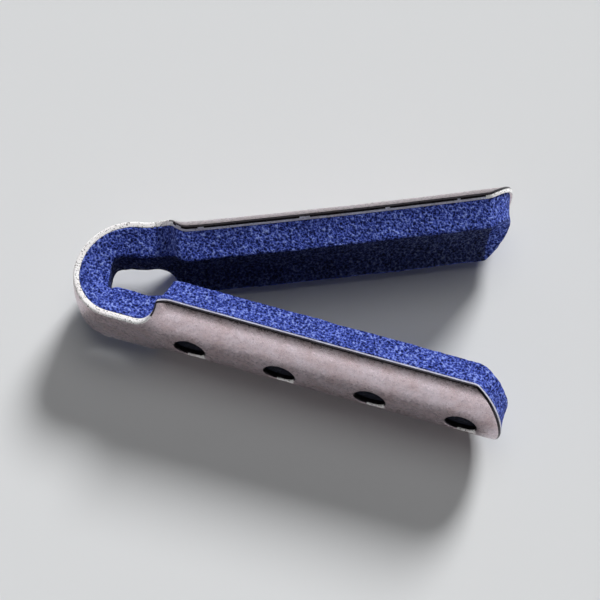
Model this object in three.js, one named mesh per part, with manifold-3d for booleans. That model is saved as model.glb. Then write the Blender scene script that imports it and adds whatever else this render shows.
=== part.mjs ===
// A fold-over finger splint: a curved strip of soft aluminium, lined with foam and folded over
// the fingertip. It lies on its side, on the edges of its two legs. Millimetres and degrees.
// +X runs from the fold to the open ends, +Y towards the upper leg, +Z across the strip.
import * as THREE from 'three';
import Module from 'manifold-3d';
import { mergeVertices } from 'three/addons/utils/BufferGeometryUtils.js';

// The laminate: metal outside, foam glued to its inner face
const metalThickness = 1.27;
const foamThickness = 6.35;
const glueLine = 0.3;

// Half widths of the strip, measured along its curve, and the radii of its outer face across it
const legHalfWidth = 13.05;
const legCurveRadius = 17;
const neckHalfWidth = 6;
const neckCurveRadius = 60;

// The cut sides of the foam lean in by this angle
const foamSideLean = 23;

// The fold: it is rounder above than below, and so is the gap that it leaves inside the foam
const upperGapHalfHeight = 5.3;
const lowerGapHalfHeight = 2.4;
const foamAtApex = 6.6;
const gapSquareness = 5;
const halfOpening = 11.1;

// Lengths along the legs: neck, corner notch, straight edge and rounded tip
const upperNeckLength = 0.6;
const lowerNeckLength = 6.1;
const notchRadius = 4.2;
const upperEdgeLength = 67.4;
const lowerEdgeLength = 68.7;
const upperTipReach = 6.2;
const lowerTipReach = 7;
const curveRunIn = 3;

// The fold closes past the upper leg's line and the strip bends back at its root, then bows a little
const overBend = 12.7;
const returnRadius = 8;
const upperBow = 2.5;

// The foam ends short of the upper tip, more at its inner face than under the metal
const foamShortAtMetal = 0.5;
const foamShortAtFace = 1.6;

// Punched holes along the middle of each leg, as many as its length takes
const holeDiameter = 6.8;
const holePitch = 19.7;
const firstHoleFromCorner = 8.1;
const leastHoleToTip = 6;
const holeSides = 24;

// How finely each stretch of a leg is stepped, and how many strips lie across the width
const stretchSteps = { fold: 12, bend: 2, neck: 2, notch: 7, runIn: 2, edge: 3, tip: 5 };
const stripsAcross = 11;

const radians = THREE.MathUtils.degToRad;
const laminateThickness = metalThickness + foamThickness;
const apexReach = (upperGapHalfHeight + lowerGapHalfHeight) / 2 + laminateThickness;
const upperLeg = {
  side: 1,
  foldRadius: upperGapHalfHeight + laminateThickness,
  overBend,
  bow: upperBow,
  neckLength: upperNeckLength,
  edgeLength: upperEdgeLength,
  tipReach: upperTipReach,
  foamShort: [foamShortAtMetal, foamShortAtFace],
};
const lowerLeg = {
  side: -1,
  foldRadius: lowerGapHalfHeight + laminateThickness,
  overBend: 0,
  bow: 0,
  neckLength: lowerNeckLength,
  edgeLength: lowerEdgeLength,
  tipReach: lowerTipReach,
  foamShort: [0, 0],
};

// Arc lengths from the fold's apex to the landmarks of one leg
function landmarks(leg) {
  const foldEnd = leg.foldRadius * radians(90 - halfOpening + leg.overBend);
  const returnEnd = foldEnd + returnRadius * radians(leg.overBend);
  const notchStart = returnEnd + leg.neckLength;
  const edgeStart = notchStart + notchRadius;
  const edgeEnd = edgeStart + leg.edgeLength;
  return { foldEnd, returnEnd, notchStart, edgeStart, edgeEnd, tip: edgeEnd + leg.tipReach };
}

// A point of the strip's middle line and its heading, drawn for the upper side of the fold
function middleLine(leg, s) {
  const { foldEnd, returnEnd, tip } = landmarks(leg);
  const arcs = [
    { length: foldEnd, turn: radians(90 - halfOpening + leg.overBend) },
    { length: returnEnd - foldEnd, turn: -radians(leg.overBend) },
    { length: tip - returnEnd, turn: -radians(leg.bow) },
  ];
  let x = -apexReach;
  let y = 0;
  let heading = Math.PI / 2;
  let left = s;
  for (const { length, turn } of arcs) {
    const step = Math.min(left, length);
    const next = step > 0 ? heading - turn * step / length : heading;
    const middle = (heading + next) / 2;
    const half = (heading - next) / 2;
    const chord = half === 0 ? step : step * Math.sin(half) / half;
    x += chord * Math.cos(middle);
    y += chord * Math.sin(middle);
    heading = next;
    left -= step;
  }
  return { x, y, heading };
}

// A size across the strip: it goes over from its value in the neck to its value along the leg
function acrossStrip(leg, s, inNeck, alongLeg) {
  const { notchStart, edgeStart } = landmarks(leg);
  const blend = THREE.MathUtils.smoothstep(s, notchStart, edgeStart + curveRunIn);
  return THREE.MathUtils.lerp(inNeck, alongLeg, blend);
}

// Half width of the strip: the notch at the root of the leg is a quarter round
function halfWidth(leg, s) {
  const { notchStart } = landmarks(leg);
  const along = THREE.MathUtils.clamp((s - notchStart) / notchRadius, 0, 1);
  const flare = 1 - Math.sqrt(1 - along * along);
  return THREE.MathUtils.lerp(neckHalfWidth, legHalfWidth, flare);
}

// The tip is one arc across the whole width, which meets the straight edges at a corner
function tipSetback({ tipReach }, q) {
  const radius = (legHalfWidth ** 2 + tipReach ** 2) / (2 * tipReach);
  return radius - Math.sqrt(radius * radius - q * q);
}

// Place a point of the flat laminate: s along it, q across it, depth in from the outer face
function place(leg, s, q, depth) {
  const { x, y, heading } = middleLine(leg, s);
  const curvature = acrossStrip(leg, s, 1 / neckCurveRadius, 1 / legCurveRadius);
  const metalAngle = q * curvature;
  const foamAngle = radians(foamSideLean) * q / acrossStrip(leg, s, neckHalfWidth, legHalfWidth);
  const inMetal = Math.min(depth, metalThickness);
  const inFoam = depth - inMetal;
  const inward = (1 - Math.cos(metalAngle)) / curvature
    + inMetal * Math.cos(metalAngle) + inFoam * Math.cos(foamAngle);
  const across = Math.sin(metalAngle) / curvature
    - inMetal * Math.sin(metalAngle) - inFoam * Math.sin(foamAngle);
  return new THREE.Vector3(
    x + inward * Math.sin(heading),
    leg.side * (y - inward * Math.cos(heading)),
    across,
  );
}

// Depth of the foam's inner face: the gap inside the fold ends bluntly, not in a half round
function foamFaceDepth(leg, s) {
  const gapEndReach = leg.foldRadius - metalThickness - foamAtApex;
  const gapHalfHeight = leg.foldRadius - laminateThickness;
  const angle = Math.min(s / leg.foldRadius, Math.PI / 2);
  const reach = (Math.cos(angle) / gapEndReach) ** gapSquareness;
  const height = (Math.sin(angle) / gapHalfHeight) ** gapSquareness;
  return leg.foldRadius - (reach + height) ** (-1 / gapSquareness);
}

// Stations from the apex to the tip of one leg
function stations(leg) {
  const marks = landmarks(leg);
  const even = (share) => share;
  const round = (share) => Math.sin(share * Math.PI / 2);
  const stretches = [
    { end: marks.foldEnd, steps: stretchSteps.fold, spacing: even },
    { end: marks.returnEnd, steps: leg.overBend > 0 ? stretchSteps.bend : 0, spacing: even },
    { end: marks.notchStart, steps: stretchSteps.neck, spacing: even },
    { end: marks.edgeStart, steps: stretchSteps.notch, spacing: round },
    { end: marks.edgeStart + curveRunIn, steps: stretchSteps.runIn, spacing: even },
    { end: marks.edgeEnd - leg.tipReach, steps: stretchSteps.edge, spacing: even },
    { end: marks.tip, steps: stretchSteps.tip, spacing: even },
  ];
  const list = [0];
  for (const { end, steps, spacing } of stretches) {
    const start = list[list.length - 1];
    for (let step = 1; step <= steps; step += 1) {
      list.push(THREE.MathUtils.lerp(start, end, spacing(step / steps)));
    }
  }
  return list;
}

// One row of points across the strip at a station, drawn back towards the rounded tip
function row(leg, s, short) {
  const { edgeEnd, tip } = landmarks(leg);
  const roundFrom = edgeEnd - leg.tipReach;
  const share = Math.max(s - roundFrom, 0) / (tip - roundFrom);
  const pairs = [];
  for (let strip = 0; strip <= stripsAcross; strip += 1) {
    const q = halfWidth(leg, s) * (2 * strip / stripsAcross - 1);
    pairs.push({ s: s - share * (tipSetback(leg, q) + short), q });
  }
  return pairs;
}

// A closed sheet between two faces, from the lower tip round the fold to the upper tip
function sheetGeometry(faces) {
  const lowerRows = stations(lowerLeg).slice(1).reverse().map((s) => ({ leg: lowerLeg, s }));
  const upperRows = stations(upperLeg).map((s) => ({ leg: upperLeg, s }));
  const rows = [...lowerRows, ...upperRows];
  const positions = [];
  for (const { depthOf, shortOf } of faces) {
    for (const { leg, s } of rows) {
      for (const pair of row(leg, s, shortOf(leg))) {
        positions.push(...place(leg, pair.s, pair.q, depthOf(leg, pair.s)).toArray());
      }
    }
  }
  const columns = stripsAcross + 1;
  const outer = (i, j) => i * columns + j;
  const inner = (i, j) => (rows.length + i) * columns + j;
  const index = [];
  const quad = (a, b, c, d) => index.push(a, b, c, a, c, d);
  const side = stripsAcross;
  for (let i = 0; i + 1 < rows.length; i += 1) {
    for (let j = 0; j < stripsAcross; j += 1) {
      quad(outer(i, j), outer(i, j + 1), outer(i + 1, j + 1), outer(i + 1, j));
      quad(inner(i, j), inner(i + 1, j), inner(i + 1, j + 1), inner(i, j + 1));
    }
    quad(outer(i, 0), outer(i + 1, 0), inner(i + 1, 0), inner(i, 0));
    quad(outer(i, side), inner(i, side), inner(i + 1, side), outer(i + 1, side));
  }
  const last = rows.length - 1;
  for (let j = 0; j < stripsAcross; j += 1) {
    quad(outer(0, j), inner(0, j), inner(0, j + 1), outer(0, j + 1));
    quad(outer(last, j), outer(last, j + 1), inner(last, j + 1), inner(last, j));
  }
  const geometry = new THREE.BufferGeometry();
  geometry.setAttribute('position', new THREE.Float32BufferAttribute(positions, 3));
  geometry.setIndex(index);
  return geometry;
}

// Round punches that stand across the metal, one for each hole
function holePunches() {
  const radius = holeDiameter / 2;
  const punches = [];
  for (const leg of [upperLeg, lowerLeg]) {
    const reach = leg.edgeLength + leg.tipReach - firstHoleFromCorner - leastHoleToTip;
    for (let hole = 0; hole <= Math.floor(reach / holePitch); hole += 1) {
      const s = landmarks(leg).edgeStart + firstHoleFromCorner + hole * holePitch;
      const centre = place(leg, s, 0, metalThickness / 2);
      const axis = place(leg, s, 0, metalThickness).sub(centre).normalize();
      const turn = new THREE.Quaternion().setFromUnitVectors(new THREE.Vector3(0, 1, 0), axis);
      const punch = new THREE.CylinderGeometry(radius, radius, 4 * metalThickness, holeSides);
      punches.push(punch.applyQuaternion(turn).translate(centre.x, centre.y, centre.z));
    }
  }
  return punches;
}

const wasm = await Module();
wasm.setup();

function toSolid(geometry) {
  const bare = geometry.clone();
  bare.deleteAttribute('normal');
  bare.deleteAttribute('uv');
  const merged = mergeVertices(bare);
  return new wasm.Manifold(new wasm.Mesh({
    numProp: 3,
    vertProperties: new Float32Array(merged.getAttribute('position').array),
    triVerts: new Uint32Array(merged.getIndex().array),
  }));
}

function toGeometry(solid) {
  const mesh = solid.getMesh();
  const geometry = new THREE.BufferGeometry();
  geometry.setAttribute('position', new THREE.BufferAttribute(mesh.vertProperties, 3));
  geometry.setIndex(new THREE.BufferAttribute(mesh.triVerts, 1));
  return geometry;
}

function metalGeometry() {
  const faces = [0, metalThickness].map((depth) => ({ depthOf: () => depth, shortOf: () => 0 }));
  let solid = toSolid(sheetGeometry(faces));
  for (const punch of holePunches()) {
    solid = solid.subtract(toSolid(punch));
  }
  return toGeometry(solid);
}

function foamGeometry() {
  return sheetGeometry([
    { depthOf: () => metalThickness + glueLine, shortOf: (leg) => leg.foamShort[0] },
    { depthOf: foamFaceDepth, shortOf: (leg) => leg.foamShort[1] },
  ]);
}

const aluminium = new THREE.MeshStandardMaterial({ color: 0xb3a6ad, metalness: 0.9, roughness: 0.45 });
const blueFoam = new THREE.MeshStandardMaterial({ color: 0x3c4a9a, metalness: 0, roughness: 0.95 });

function piece(name, geometry, material) {
  geometry.computeVertexNormals();
  const mesh = new THREE.Mesh(geometry, material);
  mesh.name = name;
  return mesh;
}

const splint = new THREE.Group();
splint.add(piece('metal_shell', metalGeometry(), aluminium));
splint.add(piece('foam_pad', foamGeometry(), blueFoam));

// The origin is the middle of the footprint, on the surface that the splint lies on
const extent = new THREE.Box3().setFromObject(splint);
const middle = extent.getCenter(new THREE.Vector3());
splint.position.set(-middle.x, -middle.y, -extent.min.z);

export default splint;
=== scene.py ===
"""Looks of a fold-over finger splint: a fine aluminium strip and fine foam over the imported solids."""
import math

import bpy
import numpy as np
from mathutils import Matrix, Vector
from mathutils.geometry import delaunay_2d_cdt


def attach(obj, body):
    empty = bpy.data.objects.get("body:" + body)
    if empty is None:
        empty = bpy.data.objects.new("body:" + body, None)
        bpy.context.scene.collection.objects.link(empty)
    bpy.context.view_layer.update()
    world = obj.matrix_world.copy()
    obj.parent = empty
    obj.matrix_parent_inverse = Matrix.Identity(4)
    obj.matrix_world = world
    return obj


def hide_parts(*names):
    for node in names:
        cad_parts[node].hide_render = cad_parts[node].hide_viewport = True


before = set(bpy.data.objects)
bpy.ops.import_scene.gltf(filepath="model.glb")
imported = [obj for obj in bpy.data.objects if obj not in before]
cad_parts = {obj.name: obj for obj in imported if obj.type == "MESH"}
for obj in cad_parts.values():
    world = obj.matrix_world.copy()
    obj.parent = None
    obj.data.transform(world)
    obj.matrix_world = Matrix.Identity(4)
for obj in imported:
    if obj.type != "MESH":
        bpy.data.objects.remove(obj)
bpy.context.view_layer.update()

MM = 0.001

# The laminate and the strip as in the solid part, with lengths in millimetres and angles in degrees
METAL = 1.27
FOAM = 6.35
LEG_HALF_WIDTH = 13.05
LEG_CURVE_RADIUS = 17.0
NECK_HALF_WIDTH = 6.0
NECK_CURVE_RADIUS = 60.0
FOAM_SIDE_LEAN = 23.0
UPPER_GAP_HALF_HEIGHT = 5.3
LOWER_GAP_HALF_HEIGHT = 2.4
FOAM_AT_APEX = 6.6
GAP_SQUARENESS = 5
HALF_OPENING = 11.1
NOTCH_RADIUS = 4.2
CURVE_RUN_IN = 3.0
RETURN_RADIUS = 8.0
FOAM_SHORT_AT_METAL = 0.5
FOAM_SHORT_AT_FACE = 1.6
HOLE_DIAMETER = 6.8
HOLE_PITCH = 19.7
FIRST_HOLE_FROM_CORNER = 8.1
HOLES = 4
APEX_REACH = (UPPER_GAP_HALF_HEIGHT + LOWER_GAP_HALF_HEIGHT) / 2 + METAL + FOAM

# The metal's rolled outer corner, sheared wall and inner burr, with lengths in millimetres
ROLLED_CORNER = 0.42
SHEAR_INSET = 0.01
SHEAR_DEPTH = METAL / 2 + 0.1
BURR = 0.12
BURR_INSET = 0.02
HOLE_SIDES = 72

# The metal's marks, which are painted highlights and painted shade, with lengths in millimetres and
# directions at a hole as (towards the tip, across)
BRIGHT_PAST_NOTCH = 0.8
BRIGHT_BEFORE_TIP = 1.0
BREAK_SIZE = 2.2
BREAK_LEVEL = 0.45
# A painted highlight on the rim of each hole, on its lower side towards the tip
RIM_HIGHLIGHT_TOWARDS = (0.5, -0.866)
RIM_HIGHLIGHT_SHARE = 0.80
# A painted highlight on the outer face beside each hole
SPOT_HIGHLIGHT_TOWARDS = (0.64, -0.77)
SPOT_HIGHLIGHT_FROM_RIM = 0.3
SPOT_HIGHLIGHT_RADIUS = 1.05
# Painted shade on the satin towards the legs' long edges, between these distances from the middle
LEG_BORDER = (8.8, 11.2)
BORDER_SHADE = 0.55

# The foam's sides, its swell, its cut-back root and where painted light begins on its upper inner face's
# end, with lengths in millimetres
FOAM_FROM_METAL = 0.02
FOAM_BACK_INSETS = (0.5, 0.06)
FOAM_CORNER = 0.55
FOAM_INSET = 0.05
FOAM_SIDE_HOLLOW = 0.16
FOAM_SIDE_ROWS = 13
LOWER_SWELL = 1.1
SWELL_RISE = (7.0, 13.0)
SWELL_FADE = (-1.0, 4.0)
SWELL_SIDE_FADE = 3.0
LOWER_ROOT_CUT_BACK = (5.8, 1.7)
ROOT_CUT_START = 10.0
ROOT_CUT_FADE = 12.0
ROOT_CUT_CORNER = 12.0
# Painted light on the end of the upper leg's inner face starts this far past the metal's edge, slanting
# across
UPPER_PAINTED_LIGHT_LINE = (1.7, 0.17)

# Soft unevenness as (cell in millimetres, seed, height in millimetres)
METAL_UNEVENNESS = ((9.0, 3, 0.05), (3.5, 5, 0.015))
FOAM_UNEVENNESS = ((5.0, 11, 0.13), (0.8, 21, 0.09))

# Where the fold's own centre lies in the part's frame, let down until the rounded edges touch the floor
EDGE_ROUNDING = 0.28
FOLD_CENTRE = np.array([-35.487, -1.71918, 12.37687 - EDGE_ROUNDING])


def smoothstep(x, low, high):
    t = np.clip((x - low) / (high - low), 0, 1)
    return t * t * (3 - 2 * t)


class Leg:
    """One leg of the strip. Its arc length runs from the fold's apex to its tip."""

    def __init__(self, side, gap_half_height, over_bend, bow, neck, edge, tip_reach, foam_short):
        self.side = side
        self.gap_half_height = gap_half_height
        self.fold_radius = gap_half_height + METAL + FOAM
        self.over_bend = math.radians(over_bend)
        self.bow = math.radians(bow)
        self.foam_short = foam_short
        self.fold_end = self.fold_radius * math.radians(90 - HALF_OPENING + over_bend)
        self.return_end = self.fold_end + RETURN_RADIUS * self.over_bend
        self.notch_start = self.return_end + neck
        self.edge_start = self.notch_start + NOTCH_RADIUS
        self.edge_end = self.edge_start + edge
        self.tip_reach = tip_reach
        self.tip = self.edge_end + tip_reach
        self.tip_radius = (LEG_HALF_WIDTH ** 2 + tip_reach ** 2) / (2 * tip_reach)

    def middle_line(self, s):
        """Where the outer face's middle lies at each arc length, and its heading there."""
        x = np.full(len(s), -APEX_REACH)
        y = np.zeros(len(s))
        heading = np.full(len(s), math.pi / 2)
        fold_turn = math.radians(90 - HALF_OPENING) + self.over_bend
        arcs = (
            (0, self.fold_end, fold_turn),
            (self.fold_end, self.return_end, -self.over_bend),
            (self.return_end, self.tip, -self.bow),
        )
        for start, end, turn in arcs:
            if end > start:
                step = np.clip(s - start, 0, end - start)
                half = turn * step / (end - start) / 2
                chord = step * np.sinc(half / math.pi)
                x = x + chord * np.cos(heading - half)
                y = y + chord * np.sin(heading - half)
                heading = heading - 2 * half
        return x, y, heading

    def half_width(self, s):
        along = np.clip((s - self.notch_start) / NOTCH_RADIUS, 0, 1)
        flare = 1 - np.sqrt(1 - along * along)
        return NECK_HALF_WIDTH + (LEG_HALF_WIDTH - NECK_HALF_WIDTH) * flare

    def tip_line(self, q):
        return self.tip - self.tip_radius + np.sqrt(np.maximum(self.tip_radius ** 2 - q * q, 0))

    def place(self, s, q, depth):
        """Points at that arc length, across and in from the outer face."""
        x, y, heading = self.middle_line(s)
        blend = smoothstep(s, self.notch_start, self.edge_start + CURVE_RUN_IN)
        curvature = (1 - blend) / NECK_CURVE_RADIUS + blend / LEG_CURVE_RADIUS
        metal_angle = q * curvature
        half_width = (1 - blend) * NECK_HALF_WIDTH + blend * LEG_HALF_WIDTH
        foam_angle = math.radians(FOAM_SIDE_LEAN) * q / half_width
        in_metal = np.minimum(depth, METAL)
        in_foam = depth - in_metal
        inward = ((1 - np.cos(metal_angle)) / curvature
                  + in_metal * np.cos(metal_angle) + in_foam * np.cos(foam_angle))
        across = (np.sin(metal_angle) / curvature
                  - in_metal * np.sin(metal_angle) - in_foam * np.sin(foam_angle))
        y = self.side * (y - inward * np.cos(heading))
        return np.stack([x + inward * np.sin(heading), y, across], -1)

    def foam_face_depth(self, s):
        angle = np.minimum(s / self.fold_radius, math.pi / 2)
        reach = (np.cos(angle) / (self.fold_radius - METAL - FOAM_AT_APEX)) ** GAP_SQUARENESS
        height = (np.sin(angle) / self.gap_half_height) ** GAP_SQUARENESS
        return self.fold_radius - (reach + height) ** (-1 / GAP_SQUARENESS)


UPPER = Leg(1, UPPER_GAP_HALF_HEIGHT, over_bend=12.7, bow=2.5, neck=0.6, edge=67.4, tip_reach=6.2,
            foam_short=(FOAM_SHORT_AT_METAL, FOAM_SHORT_AT_FACE))
LOWER = Leg(-1, LOWER_GAP_HALF_HEIGHT, over_bend=0.0, bow=0.0, neck=6.1, edge=68.7, tip_reach=7.0,
            foam_short=(0.0, 0.0))


def place(plan, depth):
    """Plan points (s, q), with s below zero on the lower leg, at their depths, in the part's frame."""
    s, q = plan[:, 0], plan[:, 1]
    upper = UPPER.place(np.maximum(s, 0), q, depth)
    lower = LOWER.place(np.maximum(-s, 0), q, depth)
    return np.where((s >= 0)[:, None], upper, lower) + FOLD_CENTRE


def foam_face_depth(plan):
    """Depth of the foam's inner face at plan points. Below the fold it swells a little."""
    s = plan[:, 0]
    fade_start, fade_end = (LOWER.edge_start + offset for offset in SWELL_FADE)
    swell = LOWER_SWELL * smoothstep(-s, *SWELL_RISE) * (1 - smoothstep(-s, fade_start, fade_end))
    side_fade = smoothstep(np.abs(plan[:, 1]), NECK_HALF_WIDTH, NECK_HALF_WIDTH + SWELL_SIDE_FADE)
    swell = swell * (1 - side_fade)
    lower = LOWER.foam_face_depth(np.maximum(-s, 0)) + swell
    return np.where(s >= 0, UPPER.foam_face_depth(np.maximum(s, 0)), lower)


HASH_STEPS = (374761393, 668265263, 2147483647)
HASH_SEED_STEP = 974634777
HASH_MIX = 1274126177


def lattice_noise(points, cell, seed):
    """Smooth value noise from -1 to 1 at 3-D points, with that cell size."""
    p = points / cell
    base = np.floor(p).astype(np.int64)
    f = p - base
    f = f * f * (3 - 2 * f)
    total = np.zeros(len(points))
    for dx in (0, 1):
        for dy in (0, 1):
            for dz in (0, 1):
                corner = base + (dx, dy, dz)
                h = (corner @ np.array(HASH_STEPS) + seed * HASH_SEED_STEP) & 0xFFFFFFFF
                h = ((h ^ (h >> 13)) * HASH_MIX) & 0xFFFFFFFF
                value = ((h ^ (h >> 16)) & 0xFFFF) / 32767.5 - 1
                weight = np.abs(1 - dx - f[:, 0]) * np.abs(1 - dy - f[:, 1]) * np.abs(1 - dz - f[:, 2])
                total += weight * value
    return total


def unevenness(points, layers):
    return sum(lattice_noise(points, cell, seed) * height for cell, seed, height in layers)


def outline(spacing, corner):
    """The strip's closed outline in the plan, counter-clockwise, with its corners rounded to about
    that radius."""
    step = 0.05
    halves = []
    for leg, sign in ((LOWER, -1), (UPPER, 1)):
        s = np.arange(0, leg.notch_start, step)
        side = [np.stack([s, np.full(len(s), NECK_HALF_WIDTH)], 1)]
        turn = np.linspace(0, math.pi / 2, int(NOTCH_RADIUS * 2 / step))
        width = LEG_HALF_WIDTH - NECK_HALF_WIDTH
        side.append(np.stack([leg.notch_start + NOTCH_RADIUS * np.sin(turn),
                              NECK_HALF_WIDTH + width * (1 - np.cos(turn))], 1))
        s = np.arange(leg.edge_start, leg.edge_end, step)[1:]
        side.append(np.stack([s, np.full(len(s), LEG_HALF_WIDTH)], 1))
        q = np.arange(LEG_HALF_WIDTH, 0, -step)
        side.append(np.stack([leg.tip_line(q), q], 1))
        halves.append(np.concatenate(side) * (sign, 1))
    lower, upper = halves
    top = np.concatenate([upper[::-1], lower[1:]])
    bottom = (top * (1, -1))[::-1]
    loop = np.concatenate([top, bottom])
    loop = even_loop(loop, step)
    reach = int(4 * corner / step)
    blur = corner * 0.6
    kernel = np.exp(-0.5 * (np.arange(-reach, reach + 1) * step / blur) ** 2)
    kernel /= kernel.sum()
    padded = np.concatenate([loop[-reach:], loop, loop[:reach]])
    loop = np.stack([np.convolve(padded[:, k], kernel, "valid") for k in (0, 1)], 1)
    return even_loop(loop, spacing)


def even_loop(loop, spacing):
    """The closed loop again, with its points that far apart."""
    closed = np.concatenate([loop, loop[:1]])
    length = np.concatenate([[0], np.cumsum(np.linalg.norm(np.diff(closed, axis=0), axis=1))])
    count = int(round(length[-1] / spacing))
    at = np.arange(count) * length[-1] / count
    return np.stack([np.interp(at, length, closed[:, k]) for k in (0, 1)], 1)


def inward_normals(loop):
    """Unit normals of a closed loop that point into it, or out of a hole's loop that runs the other way."""
    tangent = np.roll(loop, -1, 0) - np.roll(loop, 1, 0)
    tangent /= np.linalg.norm(tangent, axis=1)[:, None]
    area = 0.5 * np.sum(loop[:, 0] * np.roll(loop[:, 1], -1) - loop[:, 1] * np.roll(loop[:, 0], -1))
    return np.stack([-tangent[:, 1], tangent[:, 0]], 1) * np.sign(area)


def hole_centres():
    return [(sign * (leg.edge_start + FIRST_HOLE_FROM_CORNER + hole * HOLE_PITCH), 0.0)
            for leg, sign in ((LOWER, -1), (UPPER, 1)) for hole in range(HOLES)]


def inside_plan(points, margin):
    """Which plan points lie inside the strip, roughly that far from its outline."""
    s, q = points[:, 0], np.abs(points[:, 1])
    result = np.zeros(len(points), bool)
    for leg, here in ((LOWER, s < 0), (UPPER, s >= 0)):
        a = np.abs(s)
        wide = q < leg.half_width(np.clip(a - margin, 0, None)) - margin
        result |= here & wide & (a < leg.tip_line(q) - margin)
    return result


def inside_loop(points, loop):
    """Which points lie inside a closed loop, by counting crossings."""
    after = np.roll(loop, -1, 0)
    inside = np.zeros(len(points), bool)
    for (x0, y0), (x1, y1) in zip(loop, after):
        if y0 != y1:
            crosses = ((points[:, 1] >= y0) != (points[:, 1] >= y1))
            inside ^= crosses & (points[:, 0] < x0 + (points[:, 1] - y0) * (x1 - x0) / (y1 - y0))
    return inside


def round_hole(loop):
    """The centre and radius of a hole's loop."""
    centre = loop.mean(0)
    return centre, np.linalg.norm(loop - centre, axis=1).max()


def fill_plan(boundary, hole_loops, spacing, keep_off):
    """Triangles that fill the outline less its holes. The points start with the outline's own and
    the holes' own."""
    loops = [boundary, *hole_loops]
    fixed = np.concatenate(loops)
    s = np.arange(-LOWER.tip, UPPER.tip, spacing)
    q = (np.arange(int(2 * LEG_HALF_WIDTH / spacing) + 1) + 0.5) * spacing - LEG_HALF_WIDTH
    grid = np.stack(np.meshgrid(s, q, indexing="ij"), -1).reshape(-1, 2)
    grid[:, 0] += (np.round((grid[:, 1] + LEG_HALF_WIDTH) / spacing) % 2) * spacing * 0.5
    grid = grid[inside_plan(grid, keep_off)]
    least_gap = keep_off * 0.6
    for loop in hole_loops:
        centre, radius = round_hole(loop)
        grid = grid[np.linalg.norm(grid - centre, axis=1) > radius + least_gap]
    clear = [np.linalg.norm(part[:, None] - boundary[None, ::2], axis=2).min(1) >= least_gap
             for part in np.array_split(grid, 8)]
    grid = grid[np.concatenate(clear)]
    points = np.concatenate([fixed, grid])
    edges = []
    start = 0
    for loop in loops:
        n = len(loop)
        edges += [(start + i, start + (i + 1) % n) for i in range(n)]
        start += n
    made = delaunay_2d_cdt([Vector(p) for p in points], edges, [], 1, 1e-6, True)
    order = [ids[0] for ids in made[3]]
    triangles = np.array([[order[v] for v in face] for face in made[2]])
    triangles = triangles[inside_loop(points[triangles].mean(1), boundary)]
    for loop in hole_loops:
        centre, radius = round_hole(loop)
        triangles = triangles[np.linalg.norm(points[triangles].mean(1) - centre, axis=1) > radius]
    a, b, c = points[triangles[:, 0]], points[triangles[:, 1]], points[triangles[:, 2]]
    turn = (b[:, 0] - a[:, 0]) * (c[:, 1] - a[:, 1]) - (b[:, 1] - a[:, 1]) * (c[:, 0] - a[:, 0])
    triangles[turn < 0] = triangles[turn < 0][:, ::-1]
    return points, triangles[np.abs(turn) > 1e-9]


def sheet_mesh(name, loops, rim, bands, skins, spacings, keep_off, warp, trim=None):
    """A closed sheet. rim lists (inset, depth) from its outer face to its inner face, with depth a
    number or a function of the plan points. bands gives the material of each band between two rim
    points, a number or a function of the loop. skins gives those of the outer and inner faces, as
    functions of plan points, and spacings how far apart the points in the two faces are. trim moves
    plan points along the strip, and warp moves the finished points."""
    first, last = rim[0], rim[-1]
    normals = [inward_normals(loop) * (1 if k == 0 else -1) for k, loop in enumerate(loops)]

    def ring(inset):
        return [loop + normal * inset for loop, normal in zip(loops, normals)]

    def placed(plan, depth):
        depth = depth(plan) if callable(depth) else np.full(len(plan), float(depth))
        return place(trim(plan, depth) if trim else plan, depth)

    def filled(inset, spacing):
        boundary, *hole_loops = ring(inset)
        return fill_plan(boundary, hole_loops, spacing, keep_off)

    outer_plan, outer_tris = filled(first[0], spacings[0])
    inner_plan, inner_tris = filled(last[0], spacings[1])
    parts = [placed(outer_plan, first[1])]
    parts += [placed(np.concatenate(ring(inset)), depth) for inset, depth in rim[1:-1]]
    parts.append(placed(inner_plan, last[1]))
    starts = np.cumsum([0] + [len(part) for part in parts[:-1]])
    rows = np.concatenate([np.full(len(part), k / (len(parts) - 1)) for k, part in enumerate(parts)])
    vertices = warp(np.concatenate(parts), rows)
    rim_faces = []
    rim_looks = []
    offset = 0
    for k, loop in enumerate(loops):
        n = len(loop)
        here = np.arange(n) + offset
        after = np.roll(here, -1)
        for a, b, look in zip(starts[:-1], starts[1:], bands):
            quads = np.stack([a + here, b + here, b + after, a + after], 1)
            rim_faces.append(quads if k == 0 else quads[:, ::-1])
            rim_looks.append(look(loop) if callable(look) else np.full(n, look))
        offset += n
    faces = np.concatenate([outer_tris, inner_tris[:, ::-1] + starts[-1]]).tolist()
    faces += np.concatenate(rim_faces).tolist()
    mesh = bpy.data.meshes.new(name)
    mesh.from_pydata((vertices * MM).tolist(), [], faces)
    outer_looks = skins[0](outer_plan[outer_tris].mean(1))
    inner_looks = skins[1](inner_plan[inner_tris].mean(1))
    looks = np.concatenate([outer_looks, inner_looks, *rim_looks])
    mesh.polygons.foreach_set("material_index", looks.astype(np.int32))
    mesh.polygons.foreach_set("use_smooth", np.ones(len(mesh.polygons), bool))
    mesh.update()
    if signed_volume(mesh) < 0:
        mesh.flip_normals()
    obj = bpy.data.objects.new(name, mesh)
    bpy.context.scene.collection.objects.link(obj)
    return obj


def signed_volume(mesh):
    """Six times the mesh's volume, below zero where its faces point inwards."""
    mesh.calc_loop_triangles()
    tris = np.empty(len(mesh.loop_triangles) * 3, np.int32)
    mesh.loop_triangles.foreach_get("vertices", tris)
    co = np.empty(len(mesh.vertices) * 3, np.float32)
    mesh.vertices.foreach_get("co", co)
    p = co.reshape(-1, 3)[tris.reshape(-1, 3)]
    return float(np.einsum("ij,ij->i", p[:, 0], np.cross(p[:, 1], p[:, 2])).sum())


def round_corner(radius, steps):
    """Rim points of a rounded outer corner, from the face at inset radius to that depth at inset 0."""
    turns = np.linspace(0, math.pi / 2, steps)
    return [(radius * (1 - math.sin(t)), radius * (1 - math.cos(t))) for t in turns]


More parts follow.
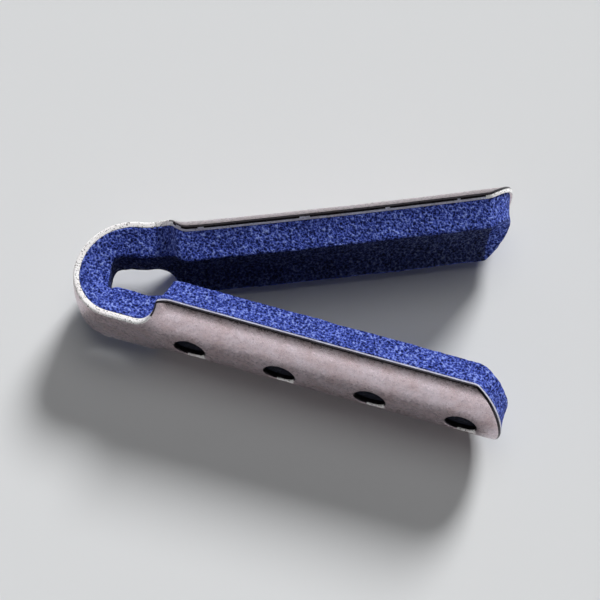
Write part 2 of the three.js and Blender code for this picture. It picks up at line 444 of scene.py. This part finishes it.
def build_metal():
    contour = outline(spacing=0.32, corner=0.6)
    turn = np.linspace(0, 2 * math.pi, HOLE_SIDES, endpoint=False)
    circle = np.stack([np.cos(turn), np.sin(turn)], 1) * (HOLE_DIAMETER / 2)
    holes = [circle + centre for centre in hole_centres()]
    rim = round_corner(ROLLED_CORNER, 7)
    rim.append((SHEAR_INSET, SHEAR_DEPTH))
    for t in np.linspace(0, math.pi / 2, 4):
        rim.append((BURR_INSET + BURR * (1 - math.cos(t)), METAL - BURR + BURR * math.sin(t)))
    rim.append((ROLLED_CORNER, METAL))
    # The metal's looks: satin; the near white cut edge, partly a painted highlight; a near-black painted
    # shade line; and the duller cut edge, whose bluish tint is a painted reflection of the foam
    satin, cut_edge_and_highlight, dark, dull_edge_with_painted_reflection = 0, 1, 2, 3

    def is_hole(loop):
        return np.abs(loop[:, 1]).max() < NECK_HALF_WIDTH

    def along_upper(s):
        return (s > UPPER.edge_start) & (s < UPPER.edge_end - BRIGHT_BEFORE_TIP)

    def corner(loop):
        """The rolled corner is a painted shade line along the legs and the bright cut edge round the fold.
        In a hole it is painted shade, with a painted highlight on its lower side towards the tip."""
        if is_hole(loop):
            towards_tip = (loop - loop.mean(0)) * (np.sign(loop[0, 0]), 1)
            bright = towards_tip @ RIM_HIGHLIGHT_TOWARDS > HOLE_DIAMETER / 2 * RIM_HIGHLIGHT_SHARE
            return np.where(bright, cut_edge_and_highlight, dark)
        edge_start = np.where(loop[:, 0] < 0, LOWER.edge_start, UPPER.edge_start)
        return np.where(np.abs(loop[:, 0]) > edge_start - BRIGHT_PAST_NOTCH, dark, cut_edge_and_highlight)

    def outer_corner(loop):
        looks = corner(loop)
        return np.where(looks == dark, satin, looks) if is_hole(loop) else looks

    def wall(loop):
        """The cut edge is near white round the fold and at the upper tip, partly a painted highlight; along
        the legs it is duller, with a bluish painted reflection of the foam; in the holes it is painted
        shade.
        """
        if is_hole(loop):
            return np.full(len(loop), dark)
        s = loop[:, 0]
        return np.where((s < -LOWER.edge_start) | along_upper(s), dull_edge_with_painted_reflection, cut_edge_and_highlight)

    def sheared_wall(loop):
        """Along the upper leg the outer half of the cut edge is a painted shade line, broken in places by
        the plain cut edge.
        """
        level = np.column_stack([loop, np.zeros(len(loop))])
        shade_broken_here = lattice_noise(level, BREAK_SIZE, seed=7) > BREAK_LEVEL
        return np.where(along_upper(loop[:, 0]) & ~shade_broken_here, dark, wall(loop))

    def all_satin(points):
        return np.full(len(points), satin)

    def highlights_by_holes(points):
        """Satin, with a small painted highlight beside each hole, on its lower side towards the tip."""
        middle = np.array(SPOT_HIGHLIGHT_TOWARDS) * (HOLE_DIAMETER / 2 + SPOT_HIGHLIGHT_FROM_RIM)
        highlighted = np.zeros(len(points), bool)
        for s, q in hole_centres():
            towards_tip = (points - (s, q)) * (np.sign(s), 1)
            highlighted |= np.linalg.norm(towards_tip - middle, axis=1) < SPOT_HIGHLIGHT_RADIUS
        return np.where(highlighted, cut_edge_and_highlight, satin)

    def warp(vertices, rows):
        """Uneven mostly along Y, which the legs' faces look along."""
        return vertices + unevenness(vertices, METAL_UNEVENNESS)[:, None] * (0.3, 1.0, 0.3)

    bands = [outer_corner] * 3 + [corner] * 3 + [sheared_wall] + [wall] * 4 + [satin]
    return sheet_mesh("aluminium_strip", [contour, *holes], rim, bands, (highlights_by_holes, all_satin),
                      spacings=(0.8, 1.4), keep_off=0.75, warp=warp)


def build_foam():
    contour = outline(spacing=0.42, corner=0.9)
    top = METAL + FOAM_FROM_METAL

    def side_depth(share):
        return lambda plan: top + (foam_face_depth(plan) - FOAM_CORNER - top) * share

    def corner_depth(drop):
        return lambda plan: foam_face_depth(plan) - drop

    rim = [(inset, top) for inset in FOAM_BACK_INSETS]
    for row in range(1, FOAM_SIDE_ROWS + 1):
        share = row / FOAM_SIDE_ROWS
        hollow = FOAM_SIDE_HOLLOW * math.sin(math.pi * share)
        rim.append((FOAM_INSET + hollow, side_depth(share)))
    for t in np.linspace(0, math.pi / 2, 5)[1:]:
        inset = FOAM_INSET + FOAM_CORNER * (1 - math.cos(t))
        rim.append((inset, corner_depth(FOAM_CORNER * (1 - math.sin(t)))))
    # The foam's looks: cut; the glued back in painted shade; the inner face in painted shade; and painted
    # light on the end of the upper leg's inner face
    cut, glued_in_painted_shade, inner, end_in_painted_light = 0, 1, 2, 3
    bands = [glued_in_painted_shade] + [cut] * (len(rim) - 2)

    def trim(plan, depth):
        """The upper tip ends short of the metal's, and the lower leg's root is cut back."""
        at_metal, at_face = UPPER.foam_short
        start = UPPER.edge_end - UPPER.tip_reach
        share = np.clip((plan[:, 0] - start) / (UPPER.tip - start), 0, 1)
        inwards = np.clip((depth - METAL) / FOAM, 0, 1)
        short = share * (at_metal + (at_face - at_metal) * inwards)
        at_neck, at_corner = LOWER_ROOT_CUT_BACK
        off_neck = smoothstep(np.abs(plan[:, 1]), NECK_HALF_WIDTH, ROOT_CUT_CORNER)
        root = at_neck + (at_corner - at_neck) * off_neck
        root = root * smoothstep(-plan[:, 0], ROOT_CUT_START, LOWER.notch_start)
        root = root * (1 - smoothstep(-plan[:, 0], LOWER.edge_start, LOWER.edge_start + ROOT_CUT_FADE))
        return plan - np.stack([short + root * inwards, np.zeros(len(plan))], 1)

    def warp(vertices, rows):
        """Uneven in all three directions, but held flat against the metal."""
        moves = np.stack([unevenness(vertices, [(cell, seed + axis, height) for cell, seed, height
                                                in FOAM_UNEVENNESS]) for axis in range(3)], 1)
        return vertices + moves * smoothstep(rows, 0.02, 0.3)[:, None]

    # The glued back is painted near black, as shade under the metal
    def glued_face_in_painted_shade(points):
        return np.full(len(points), glued_in_painted_shade)

    def inner_face_shade_and_light(points):
        """The inner faces are in painted shade, but the rounded end of the upper leg's inner face, beyond a
        slanting line, carries painted light.
        """
        beyond, slant = UPPER_PAINTED_LIGHT_LINE
        line = UPPER.edge_end + beyond + slant * points[:, 1]
        return np.where(points[:, 0] > line, end_in_painted_light, inner)

    return sheet_mesh("foam_lining", [contour], rim, bands, (glued_face_in_painted_shade, inner_face_shade_and_light),
                      spacings=(1.5, 0.5), keep_off=1.2, warp=warp, trim=trim)


def new_material(name):
    material = bpy.data.materials.new(name)
    material.use_nodes = True
    nodes, links = material.node_tree.nodes, material.node_tree.links
    return material, nodes, links, nodes["Principled BSDF"]


def node(nodes, kind, **values):
    made = nodes.new(kind)
    for key, value in values.items():
        if hasattr(made, key):
            setattr(made, key, value)
        else:
            made.inputs[key].default_value = value
    return made


def ramp(nodes, stops):
    made = nodes.new("ShaderNodeValToRGB")
    elements = made.color_ramp.elements
    while len(elements) < len(stops):
        elements.new(0.5)
    for element, (position, colour) in zip(elements, stops):
        element.position = position
        element.color = (*colour, 1)
    return made


def grey(v):
    return (v, v, v)


def multiplied(nodes, links, a, b):
    made = nodes.new("ShaderNodeMix")
    made.data_type = "RGBA"
    made.blend_type = "MULTIPLY"
    made.inputs["Factor"].default_value = 1.0
    links.new(a, made.inputs["A"])
    links.new(b, made.inputs["B"])
    return made.outputs["Result"]


def border_shade(nodes, links, where):
    """Painted shade: a grey that darkens over the last millimetres towards the long edges of the legs."""
    parts = nodes.new("ShaderNodeSeparateXYZ")
    links.new(where, parts.inputs["Vector"])
    from_middle = node(nodes, "ShaderNodeMath", operation="SUBTRACT")
    links.new(parts.outputs["Z"], from_middle.inputs[0])
    from_middle.inputs[1].default_value = FOLD_CENTRE[2] * MM
    distance = node(nodes, "ShaderNodeMath", operation="ABSOLUTE")
    links.new(from_middle.outputs["Value"], distance.inputs[0])
    share = node(nodes, "ShaderNodeMapRange")
    share.inputs["From Min"].default_value = LEG_BORDER[0] * MM
    share.inputs["From Max"].default_value = LEG_BORDER[1] * MM
    links.new(distance.outputs["Value"], share.inputs["Value"])
    shade = ramp(nodes, [(0.0, grey(1.0)), (1.0, grey(BORDER_SHADE))])
    links.new(share.outputs["Result"], shade.inputs["Fac"])
    return shade


def metal_material(name, base, roughness, flecks, fleck_share=0.30, metallic=1.0, mottling=0.2,
                   bordered=False):
    """Bare aluminium: soft clouds, fine mottling, small dark flecks, a faint bump and, if bordered,
    painted shade along the long edges."""
    material, nodes, links, shader = new_material(name)
    where = nodes.new("ShaderNodeTexCoord").outputs["Object"]
    cloud = node(nodes, "ShaderNodeTexNoise", Scale=240.0, Detail=3.0, Roughness=0.6)
    mottle = node(nodes, "ShaderNodeTexNoise", Scale=1100.0, Detail=3.0, Roughness=0.65)
    grain = node(nodes, "ShaderNodeTexNoise", Scale=2600.0, Detail=3.0, Roughness=0.7)
    fleck = node(nodes, "ShaderNodeTexNoise", Scale=2900.0, Detail=2.0, Roughness=0.6)
    for n in (cloud, mottle, grain, fleck):
        links.new(where, n.inputs["Vector"])
    warm = tuple(c * (1 - mottling * k) for c, k in zip(base, (0.35, 0.7, 0.85)))
    light = tuple(min(1.0, c * (1 + mottling * 0.4)) for c in base)
    tone = ramp(nodes, [(0.32, warm), (0.66, light)])
    links.new(cloud.outputs["Fac"], tone.inputs["Fac"])
    patches = ramp(nodes, [(0.30, grey(1 - mottling)), (0.68, grey(1.0))])
    links.new(mottle.outputs["Fac"], patches.inputs["Fac"])
    fine = ramp(nodes, [(0.28, grey(1 - mottling)), (0.72, grey(1.0))])
    links.new(grain.outputs["Fac"], fine.inputs["Fac"])
    specks = ramp(nodes, [(fleck_share, grey(1.0 - flecks)), (fleck_share + 0.05, grey(1.0))])
    links.new(fleck.outputs["Fac"], specks.inputs["Fac"])
    colour = tone.outputs["Color"]
    layers = [patches, fine, specks] + ([border_shade(nodes, links, where)] if bordered else [])
    for layer in layers:
        colour = multiplied(nodes, links, colour, layer.outputs["Color"])
    links.new(colour, shader.inputs["Base Color"])
    rough = node(nodes, "ShaderNodeMapRange")
    rough.inputs["From Min"].default_value = 0.3
    rough.inputs["From Max"].default_value = 0.7
    rough.inputs["To Min"].default_value = roughness - 0.05
    rough.inputs["To Max"].default_value = roughness + 0.07
    links.new(mottle.outputs["Fac"], rough.inputs["Value"])
    links.new(rough.outputs["Result"], shader.inputs["Roughness"])
    shader.inputs["Metallic"].default_value = metallic
    bump = node(nodes, "ShaderNodeBump", Strength=0.3, Distance=0.00003)
    links.new(grain.outputs["Fac"], bump.inputs["Height"])
    links.new(bump.outputs["Normal"], shader.inputs["Normal"])
    return material


def foam_material(name, tint):
    """Open cells of two sizes, dark between their walls, times the tint."""
    material, nodes, links, shader = new_material(name)
    where = nodes.new("ShaderNodeTexCoord").outputs["Object"]
    warp = node(nodes, "ShaderNodeTexNoise", Scale=1200.0, Detail=1.0)
    links.new(where, warp.inputs["Vector"])
    shift = node(nodes, "ShaderNodeVectorMath", operation="MULTIPLY_ADD")
    links.new(warp.outputs["Color"], shift.inputs[0])
    shift.inputs[1].default_value = (0.0004, 0.0004, 0.0004)
    links.new(where, shift.inputs[2])
    cells = node(nodes, "ShaderNodeTexVoronoi", feature="F1", Scale=2500.0, Randomness=1.0)
    large = node(nodes, "ShaderNodeTexVoronoi", feature="F1", Scale=1500.0, Randomness=1.0)
    for n in (cells, large):
        links.new(shift.outputs["Vector"], n.inputs["Vector"])
    both = node(nodes, "ShaderNodeMath", operation="MULTIPLY")
    links.new(cells.outputs["Distance"], both.inputs[0])
    links.new(large.outputs["Distance"], both.inputs[1])
    stops = [
        (0.06, (0.002, 0.003, 0.020)),
        (0.15, (0.017, 0.029, 0.165)),
        (0.32, (0.064, 0.100, 0.46)),
        (0.60, (0.25, 0.33, 0.74)),
    ]
    colour = ramp(nodes, [(at, tuple(a * b for a, b in zip(shade, tint))) for at, shade in stops])
    links.new(both.outputs["Value"], colour.inputs["Fac"])
    cloud = node(nodes, "ShaderNodeTexNoise", Scale=220.0, Detail=2.0)
    links.new(where, cloud.inputs["Vector"])
    tone = ramp(nodes, [(0.3, grey(0.82)), (0.7, grey(1.0))])
    links.new(cloud.outputs["Fac"], tone.inputs["Fac"])
    result = multiplied(nodes, links, colour.outputs["Color"], tone.outputs["Color"])
    links.new(result, shader.inputs["Base Color"])
    rough = node(nodes, "ShaderNodeMapRange")
    rough.inputs["To Min"].default_value = 1.0
    rough.inputs["To Max"].default_value = 0.75
    links.new(both.outputs["Value"], rough.inputs["Value"])
    links.new(rough.outputs["Result"], shader.inputs["Roughness"])
    shader.inputs["Specular IOR Level"].default_value = 0.25
    bump = node(nodes, "ShaderNodeBump", Strength=0.9, Distance=0.00025)
    links.new(both.outputs["Value"], bump.inputs["Height"])
    links.new(bump.outputs["Normal"], shader.inputs["Normal"])
    return material


metal = build_metal()
for look in (
    # The satin carries painted shade towards the legs' long edges
    metal_material("aluminium_satin", (0.75, 0.645, 0.70), roughness=0.27, flecks=0.4, bordered=True),
    # Near white cut edge: partly the cut metal's own colour, partly a painted highlight
    metal_material("aluminium_cut_edge_painted_highlight", (1.0, 0.98, 0.99), roughness=0.6, flecks=0.85,
                   fleck_share=0.37, metallic=0.05, mottling=0.08),
    # Painted shade: a near-black line on the rolled corner and on the walls
    metal_material("aluminium_painted_shade_line", (0.05, 0.047, 0.055), roughness=0.3, flecks=0.2),
    # The duller cut edge along the legs, its bluish light tint a painted reflection of the foam
    metal_material("aluminium_dull_edge_painted_reflection", (0.72, 0.74, 0.88), roughness=0.6, flecks=0.5,
                   fleck_share=0.34, metallic=0.6),
):
    metal.data.materials.append(look)
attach(metal, "root")
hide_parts("metal_shell")

foam = build_foam()
for look in (
    foam_material("blue_foam", (1.0, 1.0, 1.0)),
    # Painted shade: the glued back, near black
    foam_material("foam_back_painted_shade", (0.05, 0.05, 0.04)),
    # Painted shade: the inner face, darker and less blue
    foam_material("foam_inner_face_painted_shade", (0.56, 0.52, 0.40)),
    # Painted light: the end of the upper leg's inner face, brighter
    foam_material("foam_inner_end_painted_light", (1.6, 1.6, 1.5)),
):
    foam.data.materials.append(look)
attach(foam, "root")
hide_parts("foam_pad")

floor_mesh = bpy.data.meshes.new("floor")
FLOOR_REACH = 4.0
floor_corners = [(x * FLOOR_REACH, y * FLOOR_REACH, 0) for x, y in ((-1, -1), (1, -1), (1, 1), (-1, 1))]
floor_mesh.from_pydata(floor_corners, [], [(0, 1, 2, 3)])
floor = bpy.data.objects.new("floor", floor_mesh)
bpy.context.scene.collection.objects.link(floor)
floor_look, _, _, floor_shader = new_material("floor_paper")
floor_shader.inputs["Base Color"].default_value = (0.70, 0.71, 0.72, 1)
floor_shader.inputs["Roughness"].default_value = 0.95
floor_shader.inputs["Specular IOR Level"].default_value = 0.1
floor_mesh.materials.append(floor_look)

# The surroundings: dark above, a bright band at the horizon, and plain pale where the camera sees them
world = bpy.data.worlds.new("studio")
bpy.context.scene.world = world
world.use_nodes = True
sky_nodes, sky_links = world.node_tree.nodes, world.node_tree.links
direction = sky_nodes.new("ShaderNodeTexCoord").outputs["Generated"]
height = sky_nodes.new("ShaderNodeSeparateXYZ")
sky_links.new(direction, height.inputs["Vector"])
SKY_STOPS = ((0.0, 1.0), (0.05, 1.0), (0.13, 0.12), (0.25, 0.02))
sky_ramp = ramp(sky_nodes, [(height_share, grey(v)) for height_share, v in SKY_STOPS])
sky_links.new(height.outputs["Z"], sky_ramp.inputs["Fac"])
lighting = sky_nodes["Background"]
sky_links.new(sky_ramp.outputs["Color"], lighting.inputs["Color"])
lighting.inputs["Strength"].default_value = 2.5
backdrop = node(sky_nodes, "ShaderNodeBackground", Color=(0.72, 0.73, 0.74, 1), Strength=1.0)
seen = sky_nodes.new("ShaderNodeLightPath").outputs["Is Camera Ray"]
choice = sky_nodes.new("ShaderNodeMixShader")
sky_links.new(seen, choice.inputs[0])
sky_links.new(lighting.outputs["Background"], choice.inputs[1])
sky_links.new(backdrop.outputs["Background"], choice.inputs[2])
sky_links.new(choice.outputs[0], sky_nodes["World Output"].inputs["Surface"])


def sun(name, azimuth, elevation, softness, strength, seen_in_metal=True):
    """A distant soft light, in degrees. Its azimuth is measured from +X towards +Y."""
    data = bpy.data.lights.new(name, "SUN")
    data.angle = math.radians(softness)
    data.energy = strength
    light = bpy.data.objects.new(name, data)
    a, e = math.radians(azimuth), math.radians(elevation)
    towards = Vector((math.cos(a) * math.cos(e), math.sin(a) * math.cos(e), math.sin(e)))
    light.rotation_mode = "QUATERNION"
    light.rotation_quaternion = towards.to_track_quat("Z", "Y")
    light.visible_glossy = seen_in_metal
    bpy.context.scene.collection.objects.link(light)


sun("key", azimuth=68, elevation=35, softness=18, strength=3.0, seen_in_metal=False)
sun("key_shine", azimuth=68, elevation=35, softness=18, strength=0.8)
sun("top", azimuth=80, elevation=78, softness=40, strength=0.6)

scene = bpy.context.scene
scene.view_settings.view_transform = "Standard"

# The camera looks down at the splint from the lower leg's side, turned a little in the picture plane.
# It aims that far from the fold's apex, moved right and down in the picture, in millimetres
TILT = math.radians(23.29)
SWING = math.radians(2.0)
ROLL = math.radians(5.0)
DISTANCE = 500.0
PIXELS_PER_MM = 4.7
FOCAL_PIXELS = PIXELS_PER_MM * DISTANCE
PICTURE = 600
SENSOR = 36.0
AIM_FROM_APEX = 41.0
AIM_RIGHT = 7.3
AIM_DOWN = 0.3
target = Vector((AIM_FROM_APEX - APEX_REACH, 0.0, 0.0)) + Vector(FOLD_CENTRE)
back = Vector((math.sin(SWING), -math.sin(TILT) * math.cos(SWING), math.cos(TILT) * math.cos(SWING)))
level_up = Vector((0, math.cos(TILT), math.sin(TILT)))
level_right = level_up.cross(back)
right = level_right * math.cos(ROLL) + level_up * math.sin(ROLL)
up = level_up * math.cos(ROLL) - level_right * math.sin(ROLL)
centre = target + right * AIM_RIGHT - up * AIM_DOWN
camera_data = bpy.data.cameras.new("camera")
camera_data.lens = SENSOR * FOCAL_PIXELS / PICTURE
camera_data.sensor_width = SENSOR
camera_data.clip_start = 0.01
camera_data.clip_end = 20
camera = bpy.data.objects.new("camera", camera_data)
scene.collection.objects.link(camera)
turn = Matrix((right, up, back)).transposed().to_4x4()
camera.matrix_world = Matrix.Translation((centre + back * DISTANCE) * MM) @ turn
scene.camera = camera
